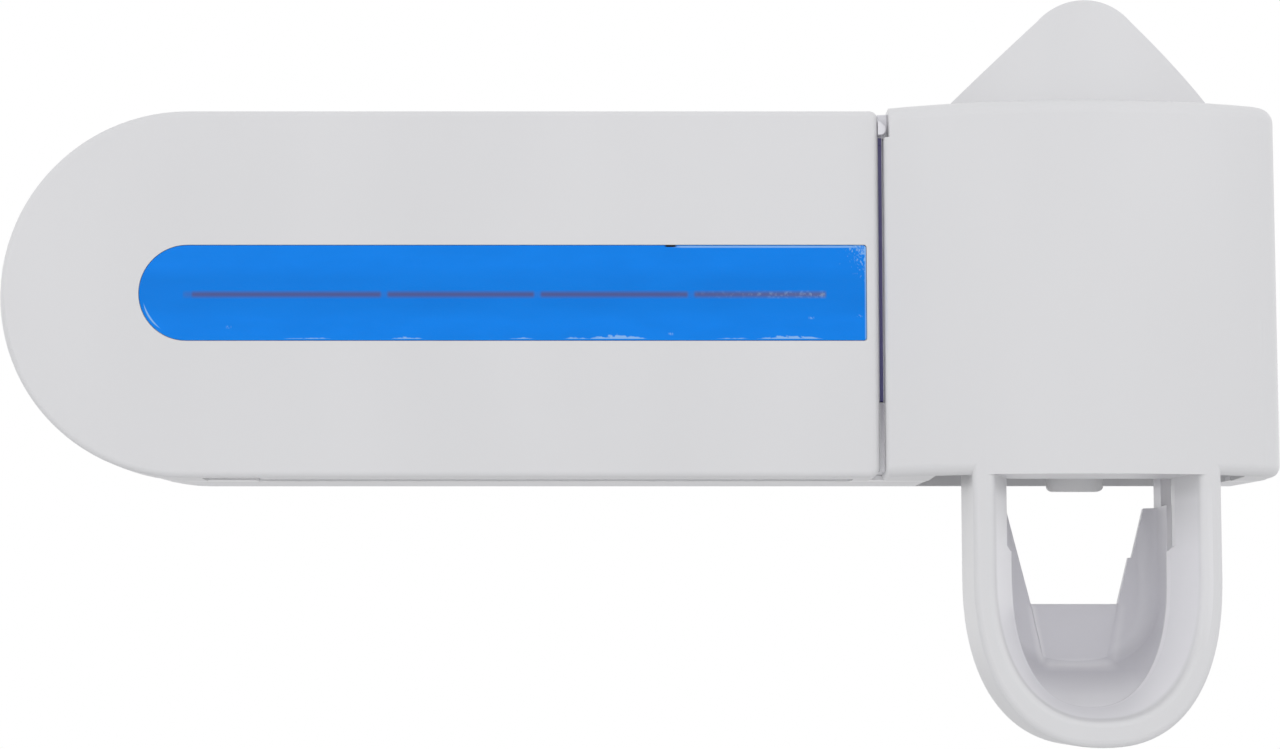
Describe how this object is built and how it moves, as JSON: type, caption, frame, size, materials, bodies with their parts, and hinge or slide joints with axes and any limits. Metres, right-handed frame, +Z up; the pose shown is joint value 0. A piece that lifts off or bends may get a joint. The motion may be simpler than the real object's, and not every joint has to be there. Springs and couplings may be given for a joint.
{
  "type": "toothpaste dispenser",
  "caption": "Wall-mounted toothpaste dispenser with push lever, pump and guard loop, joined to a lamp-lit toothbrush cabin with a hinged, windowed lid.",
  "frame": {"origin": "middle of the two wall-screw holes, on the back face that lies on the wall", "axes": "+X to the right along the wall, +Y into the wall, +Z up"},
  "size_m": [0.2629, 0.056, 0.1539],
  "materials": {
    "white_shell": "satin moulded white plastic",
    "window_blue": "tinted glossy strip",
    "inner_white": "moulded white plastic",
    "reflector": "bright rolled sheet",
    "lamp_glass": "clear glass tube",
    "cap_metal": "pressed metal cap",
    "holder_plastic": "moulded plastic",
    "board": "laminate with solder mask",
    "components": "moulded dark plastic",
    "screw_steel": "plated steel",
    "spring_steel": "drawn stainless wire and rod",
    "magnet": "nickel plated",
    "reed_glass": "sealed glass capsule",
    "pump_plastic": "natural moulded plastic",
    "seal_rubber": "soft moulded rubber",
    "silicone": "translucent silicone",
    "nozzle_grey": "soft grey silicone"
  },
  "bodies": {
    "case": {"back_case": "white_shell", "reed_switch": "reed_glass", "lamp_housing": "inner_white", "lamp_reflector": "reflector", "uv_lamp_tube": "lamp_glass", "lamp_end_caps": "cap_metal", "lamp_holders": "holder_plastic", "circuit_board": "board", "board_components": "components", "power_jack": "components", "brush_rack": "inner_white", "housing_screws": "screw_steel", "board_screws": "screw_steel", "rack_screws": "screw_steel", "pump_screws": "screw_steel", "tube_collar": "white_shell", "pump_body": "pump_plastic", "inlet_seal": "seal_rubber", "inlet_valve": "silicone", "diaphragm": "silicone", "diaphragm_ring": "pump_plastic", "outlet_nozzle": "nozzle_grey", "return_spring": "spring_steel", "lever_pins": "spring_steel"},
    "lid": {"lid_shell": "white_shell", "window_strip": "window_blue", "lid_magnet": "magnet"},
    "cover": {"dispenser_cover": "white_shell"},
    "lever": {"push_lever": "white_shell"},
    "plunger": {"plunger": "pump_plastic"}
  },
  "joints": [
    {"name": "lid_hinge", "type": "hinge", "parent": "case", "child": "lid", "pos_m": [0, -0.038, 0.0531], "axis": [-1, 0, 0], "range_deg": [0, 100]},
    {"name": "cover_off", "type": "slide", "parent": "case", "child": "cover", "axis": [0, -1, 0], "range_m": [0, 0.045]},
    {"name": "lever_push", "type": "hinge", "parent": "case", "child": "lever", "pos_m": [0.1222, -0.02, 0.031], "axis": [1, 0, 0], "range_deg": [0, 9], "stiffness_Nm_per_rad": 0.2, "springref_deg": -5.73},
    {"name": "plunger_slide", "type": "slide", "parent": "case", "child": "plunger", "axis": [0, 1, 0], "range_m": [0, 0.0036], "deforming": ["return_spring", "diaphragm"]}
  ],
  "couplings": [
    {"joint": "plunger_slide", "follows": "lever_push", "m_per_rad": 0.0223}
  ]
}
